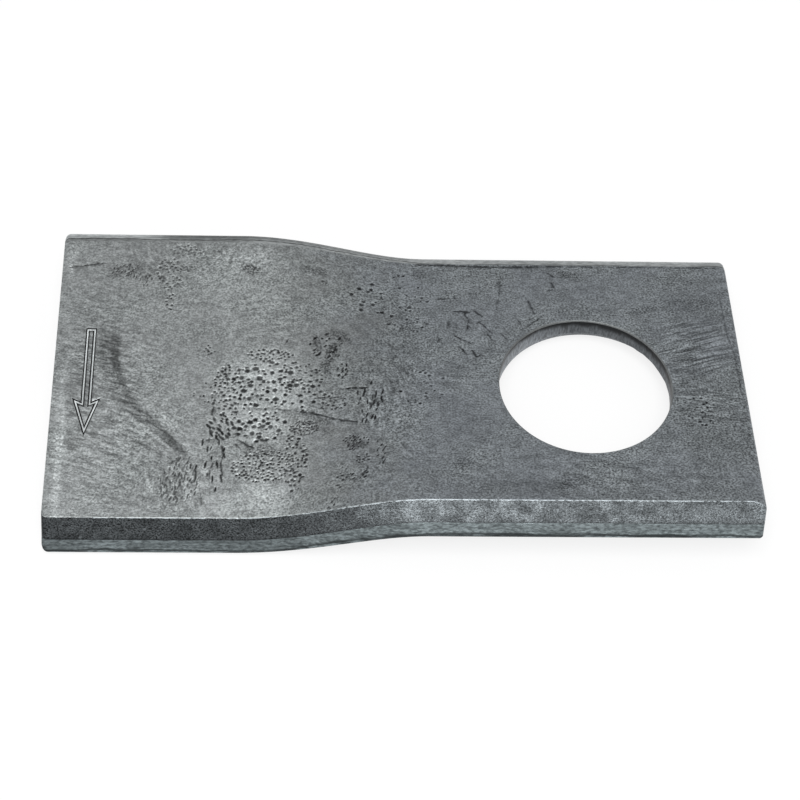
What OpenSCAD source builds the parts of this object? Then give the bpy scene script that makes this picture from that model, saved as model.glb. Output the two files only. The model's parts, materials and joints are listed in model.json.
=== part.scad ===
// Rotary mower blade: a flat bar with a round mounting hole at one end, given a part turn about its
// length, so that the cutting end stands at an angle to the mounting end.
// X runs along the bar towards the mounting end, Y across it away from the leading edge, Z up.
// The origin is the middle of the mounting hole, half way through the bar.

/* [Bar] */
// Length of the blade from end to end
blade_length = 100; // [88:0.1:130]
// Width of the bar
blade_width = 50; // [42:0.1:64]
// Thickness of the bar
blade_thickness = 4; // [3.2:0.1:6]
// Rounding of the four corners, seen from above
corner_radius = 0.8; // [0.2:0.1:2]

/* [Mounting hole] */
// Diameter of the smooth wall of the hole
hole_diameter = 25; // [16:0.1:32]
// Distance from the middle of the hole to the mounting end
hole_to_end = 23.4; // [18:0.1:30]
// Distance of the hole from the middle of the bar, towards the leading edge
hole_offset = 0.4; // [0:0.1:3]
// Width of the rounding where the punch went in
entry_width = 0.12; // [0.05:0.01:1.2]
// Depth of the rounding where the punch went in
entry_depth = 0.2; // [0.1:0.05:1]
// Widening of the torn exit on the underside
exit_width = 0.7; // [0.1:0.05:1]
// Depth of the torn exit on the underside
exit_depth = 1.4; // [0.4:0.05:1.8]

/* [Twist] */
// Angle between the cutting end and the mounting end
twist_angle = 13; // [4:0.1:20]
// Distance from the middle of the hole to the start of the twist
twist_start = 23; // [19:0.1:26]
// Length of the bar that takes up the twist
twist_length = 27; // [16:0.1:32]

/* [Long edges] */
// Width of the ground bevel
bevel_width = 2.55; // [1:0.05:5]
// Depth of the ground bevel
bevel_depth = 1.9; // [0.8:0.05:2.2]
// Lean of the blunt face below the bevel
edge_lean = 1.2; // [0.2:0.05:1.8]
// Width of the rounded corner left by rolling the bar
edge_round_width = 1.5; // [0.4:0.05:2.5]
// Depth of the rounded corner left by rolling the bar
edge_round_depth = 0.6; // [0.2:0.05:0.9]

/* [Sheared ends] */
// Length of the top face drawn down by the shear at the mounting end, next to the leading edge
mounting_draw_length = 2.4; // [0.8:0.1:3.5]
// Depth of the draw at the mounting end, next to the leading edge
mounting_draw_depth = 1.4; // [0.3:0.05:1.7]
// Share of that draw which is left at the far edge
mounting_draw_left = 0.3; // [0.1:0.05:1]
// Distance by which the lower edge of the mounting end is set back
end_setback = 0.45; // [0:0.05:1]
// Length of the underside drawn up by the shear at the cutting end
cutting_draw_length = 1; // [0.8:0.1:3]
// Depth of the draw at the cutting end
cutting_draw_depth = 0.8; // [0.3:0.05:2]

/* [Direction arrow] */
// Distance from the cutting end to the middle of the arrow
arrow_to_end = 5; // [3:0.1:8]
// Length of the arrow from tail to tip
arrow_length = 17; // [10:0.1:28]
// Width of the arrow's shaft
shaft_width = 1.3; // [1.1:0.05:2]
// Width of the arrow's head
head_width = 3.75; // [3.2:0.05:5]
// Length of the arrow's head
head_length = 5.6; // [4:0.05:8]
// Distance by which the barbs sweep back
barb_sweep = 0.6; // [0.2:0.05:1.2]
// Width of the stamped line
arrow_line = 0.43; // [0.2:0.01:0.48]
// Depth of the stamped line
arrow_depth = 0.2; // [0.05:0.05:0.5]

/* [Hidden] */
$fn = 128;

half_thickness = blade_thickness / 2;
half_width = blade_width / 2;
hole_radius = hole_diameter / 2;
mounting_x = hole_to_end;
cutting_x = hole_to_end - blade_length;
arrow_x = cutting_x + arrow_to_end;

// Steps in each quarter round, in the twist and across the flat faces
round_steps = 6;
twist_steps = 44;
face_steps = 10;
// How far a cut runs past the face that it starts from
clear = 1;

// Depth of a quarter round of the given length and depth, at a distance from the end of the bar
function end_round(distance, length, depth) =
    distance >= length ? 0 : depth * (1 - sqrt(1 - pow(1 - distance / length, 2)));

// Share of the twist that the bar has taken up at x
function turned(x) =
    let (u = min(1, max(0, (-twist_start - x) / twist_length)))
    u * u * (3 - 2 * u);

// Depth by which a face is drawn in at a distance from its sheared end, for a share of the whole draw
function drawn(distance, length, depth, share) = end_round(distance, length * share, depth * share);

// Half of the bar's section, as Y, Z and the level below the top face: over the top from the bevel's
// ridge to the far edge, then round its rolled corner and down its blunt face to the other bevel.
// The top face is drawn in by the shear, least at the far edge, and the ridge slides down the bevel.
function half_section(distance, length, depth, left) =
    let (
        ridge_drop = min(drawn(distance, length, depth, 1), 0.9 * bevel_depth),
        ridge_y = edge_lean + bevel_width * (1 - ridge_drop / bevel_depth) - half_width,
        round_y = half_width - edge_round_width,
        far_drop = drawn(distance, length, depth, left),
        blunt_z = bevel_depth - half_thickness
    )
    concat(
        [for (i = [0 : face_steps])
            let (
                across = i / face_steps,
                drop = drawn(distance, length, depth, 1 + (left - 1) * across)
            )
            [ridge_y + (round_y - ridge_y) * across, half_thickness - min(drop, 0.9 * bevel_depth), 0]],
        [for (i = [1 : round_steps])
            let (
                a = 90 * i / round_steps,
                level = edge_round_depth * (1 - cos(a))
            )
            [round_y + edge_round_width * sin(a), half_thickness - far_drop - level, level / blade_thickness]],
        [[half_width - edge_lean, blunt_z, (half_thickness - blunt_z) / blade_thickness]]
    );

// The bar's section at x: its other half is the first turned over, because the blade can be turned
// over in use. The section is drawn in at the sheared ends and turned by its share of the twist.
function section_at(x) =
    let (
        from_mounting = mounting_x - x,
        from_cutting = x - cutting_x,
        top = half_section(from_mounting, mounting_draw_length, mounting_draw_depth, mounting_draw_left),
        under = half_section(from_cutting, cutting_draw_length, cutting_draw_depth, 1),
        section = concat(top, [for (p = under) [-p.x, -p.y, 1 - p.z]]),
        narrowed = end_round(min(from_mounting, from_cutting), corner_radius, corner_radius),
        setback = end_setback * max(0, 1 - from_mounting / mounting_draw_length),
        angle = twist_angle * turned(x)
    )
    [for (p = section)
        let (
            y = p.x * (1 - narrowed / half_width),
            z = p.y
        )
        [x - setback * p.z, y * cos(angle) - z * sin(angle), y * sin(angle) + z * cos(angle)]];

// Middle of a list of points
function middle(points) = [for (p = points) 1] * points / len(points);

// Where the sections stand along the bar
stations = concat(
    [for (i = [0 : round_steps]) cutting_x + cutting_draw_length * (1 - cos(90 * i / round_steps))],
    [for (i = [0 : twist_steps]) -twist_start - twist_length * (1 - i / twist_steps)],
    [for (i = [0 : round_steps]) mounting_x - mounting_draw_length * (1 - sin(90 * i / round_steps))]
);

// The twisted bar, before it is punched, with a point in the middle of each end
module bar() {
    sections = [for (x = stations) section_at(x)];
    corners = len(sections[0]);
    last = len(sections) - 1;
    cutting_middle = corners * len(sections);
    mounting_middle = cutting_middle + 1;
    sides = [for (i = [0 : last - 1], j = [0 : corners - 1])
        let (
            a = i * corners + j,
            b = i * corners + (j + 1) % corners
        )
        each [[a, b, b + corners], [a, b + corners, a + corners]]];
    ends = [for (j = [0 : corners - 1])
        let (
            next = (j + 1) % corners,
            base = last * corners
        )
        each [[cutting_middle, next, j], [mounting_middle, base + j, base + next]]];
    translate([0, hole_offset, 0])
        polyhedron(
            points = concat(
                [for (section = sections) each section],
                [middle(sections[0]), middle(sections[last])]
            ),
            faces = concat(sides, ends),
            convexity = 4
        );
}

// The punched hole: rounded at the top, then a smooth wall, then the torn exit
module hole() {
    entry = [for (i = [0 : round_steps])
        let (a = 90 * i / round_steps)
        [hole_radius + entry_width * (1 - cos(a)), half_thickness - entry_depth * (1 - sin(a))]];
    rotate_extrude()
        polygon(concat(
            [[0, -half_thickness - clear], [hole_radius + exit_width, -half_thickness - clear]],
            [[hole_radius + exit_width, -half_thickness], [hole_radius, exit_depth - half_thickness]],
            entry,
            [[hole_radius + entry_width, half_thickness + clear], [0, half_thickness + clear]]
        ));
}

// Outline of the arrow, with its middle at the origin and its tip towards the leading edge
arrow_outline =
    let (
        tail = arrow_length / 2,
        barb = head_length - tail,
        neck = barb - barb_sweep,
        right = [[shaft_width / 2, neck], [shaft_width / 2, tail]]
    )
    concat(
        [[0, -tail], [head_width / 2, barb]],
        right,
        [for (i = [1 : -1 : 0]) [-right[i].x, right[i].y]],
        [[-head_width / 2, barb]]
    );

// Unit normal of an edge, to its left
function left_of(a, b) = [a.y - b.y, b.x - a.x] / norm(b - a);

// An outline with each edge moved inwards by the given distance
function inset(outline, distance) =
    let (n = len(outline))
    [for (i = [0 : n - 1])
        let (
            before = left_of(outline[(i + n - 1) % n], outline[i]),
            after = left_of(outline[i], outline[(i + 1) % n])
        )
        outline[i] + distance * (before + after) / (1 + before * after)];

// The stamped line round the arrow, on the top face of the cutting end
module arrow() {
    translate([arrow_x, hole_offset, 0])
        rotate([twist_angle, 0, 0])
            translate([0, 0, half_thickness - arrow_depth])
                linear_extrude(arrow_depth + clear)
                    difference() {
                        polygon(arrow_outline);
                        polygon(inset(arrow_outline, arrow_line));
                    }
}

module blade() {
    color([0.46, 0.48, 0.49])
        difference() {
            bar();
            hole();
            arrow();
        }
}

blade();
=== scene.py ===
import json
import math
import random

import bmesh
import bpy
from mathutils import Matrix, Vector, noise
from mathutils.kdtree import KDTree


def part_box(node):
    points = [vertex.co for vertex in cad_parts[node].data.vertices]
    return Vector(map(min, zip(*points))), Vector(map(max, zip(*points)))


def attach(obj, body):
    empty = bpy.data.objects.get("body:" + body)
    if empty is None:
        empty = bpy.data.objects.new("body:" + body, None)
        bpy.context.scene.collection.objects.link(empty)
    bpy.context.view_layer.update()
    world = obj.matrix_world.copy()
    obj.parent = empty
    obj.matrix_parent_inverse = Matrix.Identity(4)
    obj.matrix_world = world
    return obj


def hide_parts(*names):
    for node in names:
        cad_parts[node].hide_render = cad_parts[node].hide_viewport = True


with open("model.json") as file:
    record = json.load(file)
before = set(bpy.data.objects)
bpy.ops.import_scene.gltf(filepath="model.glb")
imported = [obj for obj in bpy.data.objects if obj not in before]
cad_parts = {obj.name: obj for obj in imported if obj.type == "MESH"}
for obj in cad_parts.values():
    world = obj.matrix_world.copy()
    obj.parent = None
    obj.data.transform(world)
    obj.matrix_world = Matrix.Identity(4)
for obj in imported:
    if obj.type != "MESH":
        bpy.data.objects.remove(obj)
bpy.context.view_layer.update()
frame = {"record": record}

scene = bpy.context.scene
scene.view_settings.view_transform = "Standard"
mm = 0.001  # the settings below are in millimetres and degrees
same = 1e-3  # points closer than this are the same

# the bar as it was rolled, ground, sheared and twisted
bar = {
    "thickness": 4.0,
    "cornerRadius": 0.8,
    "twistAngle": 13.0,
    "twistStart": 23.0,
    "twistLength": 27.0,
    "bevelWidth": 2.55,
    "bevelDepth": 1.9,
    "bevelSlack": 0.02,
    "edgeLean": 1.2,
    "roundWidth": 1.5,
    "roundDepth": 0.6,
    "roundSteps": 8,
    "mountingDraw": (2.3, 0.9, 0.35),  # length, depth and the share that is left at the far edge
    "cuttingDraw": (1.0, 0.8, 1.0),
    "setback": 0.45,
    "ridgeRounding": 0.07,
    "ridgeSegments": 2,
    # how far the wear and painted highlight of the ridges reach, and their peak
    "ridgeWearAndHighlight": 0.16,
    "wearAndHighlightPeak": 1.2,
    "topMesh": 0.5,
    "underMesh": 1.2,
    "drawMesh": 0.15,
    "sideMesh": 1.32,
    "sideCuts": 5,
    "waviness": 0.03,
    "waveLength": 9.0,
    "waveFade": 3.0,
    "waveSeed": 3.1,
    "sharpFrom": 40.0,
}
low, high = (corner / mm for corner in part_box("blade"))
cuttingX, mountingX = low.x, high.x
middleY = (low.y + high.y) / 2
halfWidth = (high.y - low.y) / 2
topZ = bar["thickness"] / 2
ridgeY = bar["edgeLean"] + bar["bevelWidth"] - halfWidth
roundY = halfWidth - bar["roundWidth"]
facetY = bar["edgeLean"] - halfWidth
facetZ = topZ - bar["bevelDepth"]

# slots of the blade's finishes, and how squarely a face has to point to get one of them
finishNames = ["rolledFace", "rolledCorner", "underFace", "groundBevel", "bluntEdge", "shearedEnd",
               "punchedRim", "punchedWall", "stampedWallShade", "stampedFloor"]
slotOf = {name: slot for slot, name in enumerate(finishNames)}
facing = {"end": 0.9, "flat": 0.97, "corner": 0.2, "bevel": 0.3}


def turnAt(x):
    share = min(1.0, max(0.0, (-bar["twistStart"] - x) / bar["twistLength"]))
    return math.radians(bar["twistAngle"]) * share * share * (3 - 2 * share)


def endRound(distance, length, depth):
    if distance >= length:
        return 0.0
    return depth * (1 - math.sqrt(max(0.0, 1 - (1 - distance / length) ** 2)))


def drawnIn(y, z, distance, length, depth, left):
    # the upper half of the section at a sheared end: the top sinks and the ridge slides down the bevel
    drop = endRound(distance, length, depth)
    slide = drop * bar["bevelWidth"] / bar["bevelDepth"]
    if y < ridgeY:
        share = (z - facetZ) / (topZ - facetZ)
        return y - slide * share, z - drop * share
    if y < roundY:
        across = (y - ridgeY) / (roundY - ridgeY)
        scale = 1 + (left - 1) * across
        return y - slide * (1 - across), z - endRound(distance, length * scale, depth * scale)
    share = min(1.0, (z + facetZ) / (topZ - bar["roundDepth"] + facetZ))
    return y, z - endRound(distance, length * left, depth * left) * share


def placed(x, y, z):
    # a point of the straight bar, where the shear and the twist leave it
    fromMounting, fromCutting = mountingX - x, x - cuttingX
    level = 0.5 - z / bar["thickness"]
    setback = bar["setback"] * max(0.0, 1 - fromMounting / bar["mountingDraw"][0]) * level
    if z > -math.copysign(facetZ, y):
        y, z = drawnIn(y, z, fromMounting, *bar["mountingDraw"])
    else:
        y, z = (-part for part in drawnIn(-y, -z, fromCutting, *bar["cuttingDraw"]))
    y *= 1 - endRound(min(fromMounting, fromCutting), bar["cornerRadius"], bar["cornerRadius"]) / halfWidth
    turn = turnAt(x)
    return Vector((x - setback, middleY + y * math.cos(turn) - z * math.sin(turn),
                   y * math.sin(turn) + z * math.cos(turn)))


def onTop(x, y):
    return placed(x, y, topZ)


# corroded patches of the top face, placed by (along the bar from the hole, across it from its middle)
pits = {
    "seed": 11,
    "depth": 0.06,
    "tries": 12,
    "usual": {"stretch": 1.25, "turn": 5, "deep": 1.0},
    "stretchSpread": (0.75, 1.25),
    "turnSpread": (-14, 14),
    "deepSpread": (0.8, 1.0),
    "longFrom": 1.6,
    "apart": 1.15,  # clear space round a pit as a share of its radius, and round a long one
    "longApart": 0.9,
    "ragged": 0.35,
    "raggedScale": 4,
    "searchBy": 1.5,  # how far away pits are looked for, as a share of half the longest one
    "edge": (1.2, 0.45),  # where its slope ends and how wide it is, as shares of the radius
    "rim": (1.45, 0.4),  # the middle of its pale rim and half the width, in the same shares
    "cuts": 3,
    "nearBy": 0.75,  # faces this share of a face away from a pit are made finer too
    # middle, half size, count and width of the pits, then what is unusual about them
    "patches": [
        ((-46.4, -0.4), (4.6, 4.0), 38, (0.42, 0.72), {}),
        ((-46.6, -7.4), (4.0, 2.6), 24, (0.40, 0.68), {}),
        ((-39.6, -2.0), (2.2, 1.6), 9, (0.42, 0.62), {}),
        ((-46.0, -2.6), (5.6, 6.2), 60, (0.28, 0.46), {}),
        ((-45.6, 4.4), (3.4, 1.0), 34, (0.26, 0.42), {}),
        ((-41.2, 0.6), (3.2, 2.8), 34, (0.28, 0.46), {}),
        ((-36.6, -3.4), (2.2, 1.5), 26, (0.24, 0.38), {}),
        ((-51.4, -1.6), (2.4, 4.4), 62, (0.26, 0.46), {}),
        ((-52.4, -7.2), (2.0, 1.9), 22, (0.30, 0.46), {"stretch": 2.0, "turn": -50}),
        ((-53.8, -13.0), (2.6, 4.6), 16, (0.24, 0.38), {"stretch": 3.0, "turn": 88}),
        ((-58.0, -15.6), (2.8, 3.8), 74, (0.17, 0.27), {"stretch": 3.0, "turn": 80, "deep": 0.75}),
        ((-46.0, -13.4), (5.0, 2.4), 130, (0.22, 0.38), {}),
        ((-41.8, -12.4), (1.7, 5.2), 48, (0.28, 0.50), {}),
        ((-40.6, -7.6), (2.1, 1.2), 60, (0.20, 0.32), {}),
        ((-31.2, -3.6), (2.0, 4.0), 24, (0.26, 0.40), {"stretch": 3.0, "turn": 78}),
        ((-35.1, 2.2), (0.9, 1.9), 10, (0.28, 0.42), {"stretch": 2.0, "turn": 70}),
        ((-33.2, -1.4), (1.2, 0.6), 5, (0.28, 0.42), {"stretch": 2.5}),
        ((-37.6, 6.0), (2.6, 2.8), 20, (0.24, 0.44), {"stretch": 1.6, "turn": 50}),
        ((-67.6, 18.5), (1.8, 1.1), 24, (0.18, 0.30), {"stretch": 2.0, "turn": 60, "deep": 0.75}),
        ((-64.7, 16.9), (1.6, 1.1), 14, (0.18, 0.30), {"stretch": 2.4, "turn": 84, "deep": 0.8}),
        ((-60.9, 18.0), (1.8, 2.8), 42, (0.26, 0.44), {"deep": 0.8}),
        ((-58.3, 22.0), (2.4, 0.9), 26, (0.26, 0.42), {"deep": 0.7}),
        ((-60.6, 13.2), (0.5, 2.0), 9, (0.26, 0.38), {}),
        ((-54.4, 5.2), (0.9, 0.9), 9, (0.22, 0.34), {}),
        ((-55.0, -1.6), (1.6, 1.8), 10, (0.22, 0.34), {}),
        ((-29.6, 15.6), (4.6, 3.6), 12, (0.46, 0.64), {}),
        ((-26.0, 15.0), (4.6, 6.0), 34, (0.24, 0.44), {}),
        ((-23.6, -1.2), (3.6, 3.4), 22, (0.26, 0.44), {}),
        ((16.0, -5.6), (2.4, 3.4), 24, (0.24, 0.44), {}),
        ((-33.2, -10.5), (1.9, 1.5), 30, (0.18, 0.32), {"stretch": 1.5, "turn": 40}),
        ((-32.3, -13.4), (1.0, 0.8), 9, (0.18, 0.32), {"stretch": 1.5}),
        ((-35.2, -16.0), (0.9, 1.9), 9, (0.24, 0.40), {}),
        ((-32.9, -16.2), (1.3, 1.0), 8, (0.20, 0.34), {"stretch": 2.2, "turn": 35}),
        ((-29.8, -12.4), (0.8, 2.6), 13, (0.18, 0.30), {"stretch": 2.2, "turn": 65}),
        ((-36.2, -20.2), (0.9, 1.4), 5, (0.20, 0.30), {"stretch": 1.8, "turn": 60}),
    ],
}

# creases and gouges: half a width, a depth and a run of points
gouges = {
    "wander": 0.16,
    "wanderScale": 1.9,
    "wanderSeed": 7.7,
    "darkDepth": 0.06,
    "darkest": 0.85,
    "runs": [
        (0.16, 0.04, (-49.2, -4.1), (-44.5, -4.4), (-41.1, -4.9)),
        (0.22, 0.07, (-41.1, -4.9), (-38.3, -5.6), (-36.3, -6.4), (-33.1, -7.1)),
        (0.18, 0.06, (-54.3, -9.3), (-52.2, -9.0)),
        (0.20, 0.06, (-49.9, -9.2), (-47.7, -10.5)),
        (0.18, 0.05, (-50.2, -9.9), (-48.4, -11.6)),
        (0.20, 0.05, (-52.0, 2.3), (-51.9, 1.1), (-51.6, -0.5)),
        (0.24, 0.07, (-53.5, -4.1), (-53.7, -5.2)),
        (0.22, 0.06, (-52.1, -10.3), (-51.8, -11.6), (-52.2, -13.0), (-51.9, -14.6)),
        (0.20, 0.05, (-53.3, -12.9), (-53.7, -14.0), (-53.6, -15.3)),
        (0.20, 0.06, (-55.7, -13.8), (-55.5, -14.8), (-55.9, -15.9)),
        (0.14, 0.05, (-55.0, -16.4), (-54.6, -19.1)),
        (0.18, 0.05, (-58.8, -18.0), (-59.6, -19.6)),
        (0.16, 0.05, (-40.3, -2.9), (-38.0, -2.7), (-35.7, -2.7)),
        (0.24, 0.06, (-43.6, 6.3), (-43.0, 7.3)),
        (0.18, 0.06, (-32.3, -5.6), (-31.4, -7.4)),
        (0.24, 0.05, (-33.3, -16.8), (-31.9, -15.8), (-31.5, -14.9)),
        (0.17, 0.06, (-75.5, 18.9), (-70.3, 19.7)),
        (0.18, 0.06, (-21.4, 16.2), (-17.8, 16.5)),
        (0.24, 0.08, (-18.6, 13.8), (-16.2, 13.7)),
        (0.22, 0.08, (-15.9, 14.2), (-14.4, 12.8)),
        (0.20, 0.06, (-17.0, 13.0), (-16.5, 12.1), (-16.7, 10.2)),
        (0.14, 0.04, (-18.3, 11.9), (-18.4, 9.7)),
        (0.20, 0.06, (-14.9, 11.7), (-13.1, 9.4)),
        (0.22, 0.05, (-13.9, 9.6), (-13.2, 8.1)),
        (0.18, 0.05, (-11.8, 9.4), (-10.8, 8.1)),
        (0.20, 0.07, (-18.6, 8.8), (-16.4, 7.4)),
        (0.22, 0.08, (-18.0, 6.7), (-17.0, 5.3)),
        (0.20, 0.07, (-16.2, 6.1), (-15.6, 4.8), (-14.9, 5.1)),
        (0.18, 0.05, (-19.6, 11.7), (-19.5, 10.6)),
        (0.18, 0.05, (-21.0, 8.2), (-21.2, 7.5)),
        (0.16, 0.05, (-11.2, 21.2), (-11.6, 17.8), (-12.2, 14.2)),
        (0.30, 0.06, (-7.3, 15.8), (-6.6, 13.4)),
        (0.18, 0.06, (-7.5, 11.1), (-5.8, 12.6)),
        (0.24, 0.04, (-9.5, 13.1), (-8.3, 10.1)),
        (0.20, 0.05, (-4.4, 18.2), (-3.6, 18.4)),
        (0.24, 0.06, (-4.0, 21.8), (-3.2, 21.2)),
        (0.22, 0.06, (-3.6, 19.9), (-3.3, 18.9)),
        (0.26, 0.07, (-24.0, 23.4), (-12.0, 23.0), (-2.0, 23.3)),
        (0.17, 0.05, (-4.0, 23.3), (22.4, 23.3)),
        (0.22, 0.03, (21.8, 16.4), (21.9, 9.4), (22.5, 5.9), (22.5, -1.5)),
    ],
}


def layBar(bm):
    # over the top, round the rolled corner and down the blunt face, then the same turned over
    slope = Vector((bar["bevelWidth"], bar["bevelDepth"])).normalized() * bar["ridgeWearAndHighlight"]
    corners = [(ridgeY - slope.x, topZ - slope.y), (ridgeY, topZ), (ridgeY + bar["ridgeWearAndHighlight"], topZ),
               (roundY, topZ)]
    for step in range(1, bar["roundSteps"] + 1):
        angle = math.radians(90) * step / bar["roundSteps"]
        corners.append((roundY + bar["roundWidth"] * math.sin(angle),
                        topZ - bar["roundDepth"] * (1 - math.cos(angle))))
    corners.append((-facetY, -facetZ))
    corners += [(-y, -z) for y, z in corners]
    ring = [bm.verts.new((cuttingX, y, z)) for y, z in corners]
    for ends in zip(ring, ring[1:] + ring[:1]):
        bm.edges.new(ends)
    # the flats get as many divisions as their dents need, the ground and blunt faces a few
    for side, mesh in ((1, bar["topMesh"]), (-1, bar["underMesh"])):
        facingSide = [edge for edge in bm.edges if edge.verts[0].co.z * side > 0]
        flat = max(facingSide, key=lambda edge: edge.calc_length())
        bmesh.ops.bisect_edges(bm, edges=[flat], cuts=int(flat.calc_length() / mesh))
    wide = [edge for edge in bm.edges if edge.calc_length() > bar["sideMesh"]]
    bmesh.ops.bisect_edges(bm, edges=wide, cuts=bar["sideCuts"])
    # drawn out along the bar, finer at the sheared ends
    loop = bm.verts[:] + bm.edges[:]
    cuttingLength, mountingLength = bar["cuttingDraw"][0], bar["mountingDraw"][0]
    plainLength = mountingX - cuttingX - cuttingLength - mountingLength
    for length, mesh in ((cuttingLength, bar["drawMesh"]), (plainLength, bar["topMesh"]),
                         (mountingLength, bar["drawMesh"])):
        steps = round(length / mesh)
        drawn = bmesh.ops.spin(bm, geom=loop, cent=(0, 0, 0), axis=(1, 0, 0), dvec=(length / steps, 0, 0),
                               angle=0, steps=steps)
        loop = drawn["geom_last"]
    bmesh.ops.holes_fill(bm, edges=[edge for edge in bm.edges if edge.is_boundary])
    bmesh.ops.recalc_face_normals(bm, faces=bm.faces[:])


def softenRidges(bm):
    ridges = []
    for edge in bm.edges:
        a, b = (vert.co for vert in edge.verts)
        if abs(a.x - b.x) < same:
            continue
        for y, z in ((ridgeY, topZ), (-ridgeY, -topZ), (facetY, facetZ), (-facetY, -facetZ)):
            if abs(a.y - y) + abs(a.z - z) < same:
                ridges.append(edge)
    bmesh.ops.bevel(bm, geom=ridges, offset=bar["ridgeRounding"], offset_type="OFFSET", affect="EDGES",
                    segments=bar["ridgeSegments"], profile=0.5, material=-1)


def nameFaces(bm):
    bevelTo = abs(facetY) + bar["bevelSlack"]
    for face in bm.faces:
        normal, middle = face.normal, face.calc_center_median()
        if abs(normal.x) > facing["end"]:
            name = "shearedEnd"
        elif normal.z > facing["flat"] and middle.y < roundY:
            name = "rolledFace"
        elif normal.z < -facing["flat"] and middle.y > -roundY:
            name = "underFace"
        elif normal.z > facing["corner"] and middle.y > roundY:
            name = "rolledCorner"
        elif normal.y * middle.z < 0 and abs(normal.z) > facing["bevel"] and abs(middle.y) < bevelTo:
            name = "groundBevel"
        else:
            name = "bluntEdge"
        face.material_index = slotOf[name]


def scatterPits():
    draw = random.Random(pits["seed"])
    found = []
    for (atX, atY), (halfAlong, halfAcross), count, width, unusual in pits["patches"]:
        wanted, look = len(found) + count, {**pits["usual"], **unusual}
        for attempt in range(count * pits["tries"]):
            if len(found) == wanted:
                break
            reach, angle = math.sqrt(draw.random()), draw.uniform(0, 2 * math.pi)
            x = atX + halfAlong * reach * math.cos(angle)
            y = atY + halfAcross * reach * math.sin(angle)
            radius = draw.uniform(*width) / 2
            stretch = look["stretch"] * draw.uniform(*pits["stretchSpread"])
            turn = math.radians(look["turn"] + draw.uniform(*pits["turnSpread"]))
            clear = radius * pits["apart" if stretch < pits["longFrom"] else "longApart"]
            if all(math.hypot(x - pit["x"], y - pit["y"]) > clear + pit["radius"] for pit in found):
                deep = draw.uniform(*pits["deepSpread"]) * look["deep"]
                found.append({"x": x, "y": y, "radius": radius, "stretch": stretch, "turn": turn,
                              "deep": deep})
    return found


def gougeDepth(x, y, wander=0.0):
    deepest, scale = 0.0, gouges["wanderScale"]
    ragged = wander * noise.noise((x * scale, y * scale, gouges["wanderSeed"]))
    for width, depth, *run in gouges["runs"]:
        for (ax, ay), (bx, by) in zip(run, run[1:]):
            dx, dy = bx - ax, by - ay
            along = max(0.0, min(1.0, ((x - ax) * dx + (y - ay) * dy) / (dx * dx + dy * dy)))
            away = abs(math.hypot(x - ax - along * dx, y - ay - along * dy) + ragged)
            if away < width:
                deepest = max(deepest, depth * (1 - away / width))
    return deepest


def onTopFace(co):
    return co.z > topZ - same and ridgeY < co.y < roundY + same


def refine(bm, found):
    # finer faces where the pits and gouges are
    tree = KDTree(len(found))
    for index, pit in enumerate(found):
        tree.insert((pit["x"], pit["y"], 0), index)
    tree.balance()
    chosen = set()
    for face in bm.faces:
        if face.material_index != slotOf["rolledFace"]:
            continue
        middle = face.calc_center_median()
        spot, index, away = tree.find((middle.x, middle.y, 0))
        reach = found[index]["radius"] * found[index]["stretch"] + bar["topMesh"] * pits["nearBy"]
        if away < reach or gougeDepth(middle.x, middle.y) > 0:
            chosen.update(face.edges)
    bmesh.ops.subdivide_edges(bm, edges=list(chosen), cuts=pits["cuts"], use_grid_fill=True)
    return tree


def carve(bm, found, tree):
    # pits and gouges sink into the top face, and it keeps the slight waves of the rolls
    layers = bm.verts.layers.float
    pitted, rimmed, wearAndHighlight = layers.new("pitted"), layers.new("rimmed"), layers.new("wearAndHighlight")
    across, level = layers.new("across"), layers.new("level")
    longest = max(pit["radius"] * pit["stretch"] for pit in found) * pits["searchBy"]
    (edgeAt, edgeWidth), (rimAt, rimWidth), scale = pits["edge"], pits["rim"], pits["raggedScale"]
    for vert in bm.verts:
        x, y, z = vert.co
        ridgeGap = min(math.hypot(y - ridgeY, z - topZ), math.hypot(y + ridgeY, z + topZ))
        # this attribute carries the ridges' wear and a painted highlight, strongest right on the ridge
        vert[wearAndHighlight] = max(0.0, bar["wearAndHighlightPeak"] * (1 - ridgeGap / bar["ridgeWearAndHighlight"]))
        vert[across], vert[level] = y, z
        if not onTopFace(vert.co):
            continue
        sunk, dark, rim = 0.0, 0.0, 0.0
        for spot, index, away in tree.find_range((x, y, 0), longest):
            pit = found[index]
            dx, dy, turn = x - pit["x"], y - pit["y"], pit["turn"]
            along = (dx * math.cos(turn) + dy * math.sin(turn)) / (pit["radius"] * pit["stretch"])
            aside = (dy * math.cos(turn) - dx * math.sin(turn)) / pit["radius"]
            reach = math.hypot(along, aside) + pits["ragged"] * noise.noise((x * scale, y * scale, index))
            share = max(0.0, min(1.0, (edgeAt - reach) / edgeWidth))
            share = share * share * (3 - 2 * share)
            sunk = max(sunk, pits["depth"] * pit["deep"] * share)
            dark = max(dark, share * pit["deep"])
            rim = max(rim, 1 - abs(reach - rimAt) / rimWidth)
        groove = gougeDepth(x, y, gouges["wander"])
        vert[pitted] = max(dark, min(gouges["darkest"], groove / gouges["darkDepth"]))
        vert[rimmed] = max(0.0, rim)
        wave = noise.noise((x / bar["waveLength"], y / bar["waveLength"], bar["waveSeed"]))
        fade = max(0.0, min(1.0, (y - ridgeY) / bar["waveFade"], (roundY - y) / bar["waveFade"]))
        vert.co.z -= max(sunk, groove) + bar["waviness"] * fade * (0.5 + 0.5 * wave)


def shapeBlade(found):
    bm = bmesh.new()
    layBar(bm)
    softenRidges(bm)
    nameFaces(bm)
    tree = refine(bm, found)
    carve(bm, found, tree)
    for vert in bm.verts:
        vert.co = placed(*vert.co)
    return bm


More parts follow.
